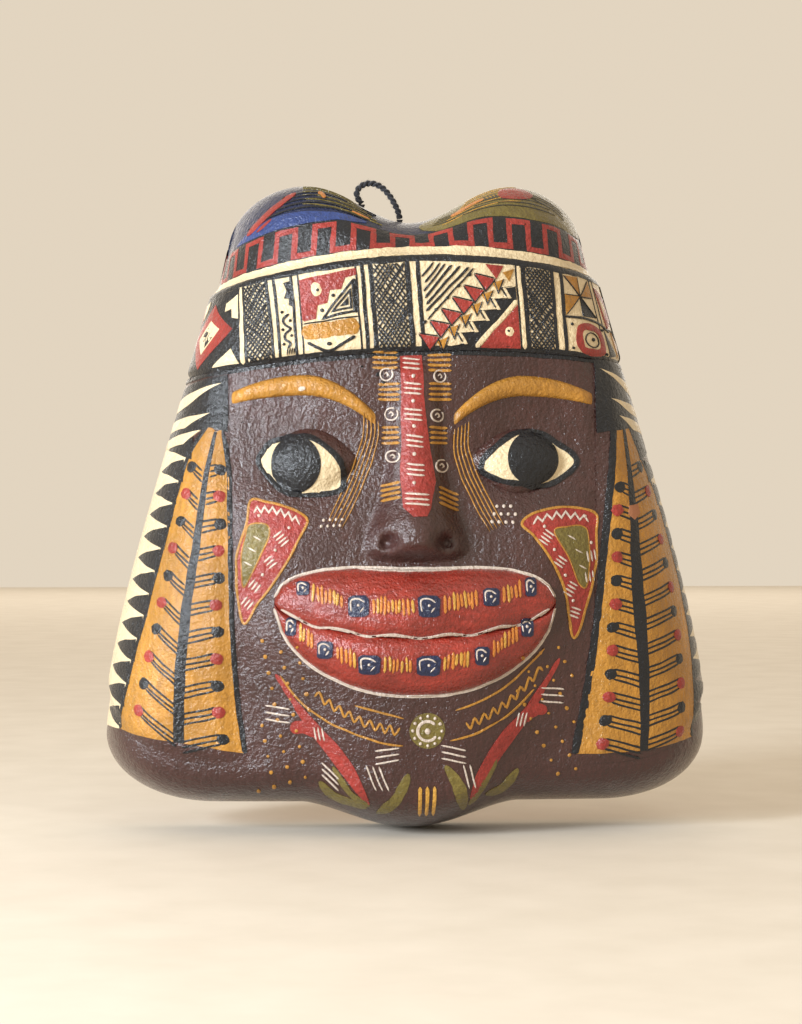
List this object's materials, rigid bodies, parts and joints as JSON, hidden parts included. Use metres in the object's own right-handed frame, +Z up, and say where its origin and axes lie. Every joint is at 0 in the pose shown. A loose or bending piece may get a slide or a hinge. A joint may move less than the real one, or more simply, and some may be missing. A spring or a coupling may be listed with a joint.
{
  "type": "folk art wall mask",
  "caption": "Hollow painted clay wall mask: broad face with patterned headband, two-lobed crown, side lappets and a yarn hanging loop.",
  "frame": {"origin": "on the back rim, in the middle of its thickness, under the chin", "axes": "+Z up towards the crown, the face looks towards -Y and the back rim lies in the plane y = 0, +X to the viewer's right"},
  "size_m": [0.238, 0.0721, 0.2555],
  "materials": {
    "crown_paint": "dark blue and olive paint under satin varnish",
    "headband_paint": "cream paint with black, red and ochre patterns under satin varnish",
    "face_paint": "dark brown paint under satin varnish",
    "lappet_paint": "ochre paint with red and black marks under satin varnish",
    "brow_paint": "ochre paint under satin varnish",
    "eye_paint": "cream and black paint under satin varnish",
    "lip_paint": "red paint under satin varnish",
    "yarn": "black twisted yarn"
  },
  "bodies": {
    "mask": {"crown": "crown_paint", "headband": "headband_paint", "face_shell": "face_paint", "left_lappet": "lappet_paint", "right_lappet": "lappet_paint", "lower_rim": "face_paint", "nose": "face_paint", "left_brow": "brow_paint", "right_brow": "brow_paint", "left_eye": "eye_paint", "right_eye": "eye_paint", "upper_lip": "lip_paint", "lower_lip": "lip_paint", "left_cord_end": "yarn", "right_cord_end": "yarn"},
    "hanging_loop": {"cord_loop": "yarn"}
  },
  "joints": [
    {"name": "loop_swing", "type": "hinge", "parent": "mask", "child": "hanging_loop", "pos_m": [-0.018, -0.007, 0.24282], "axis": [0.9303, 0, -0.3669], "range_deg": [-20, 60]}
  ]
}
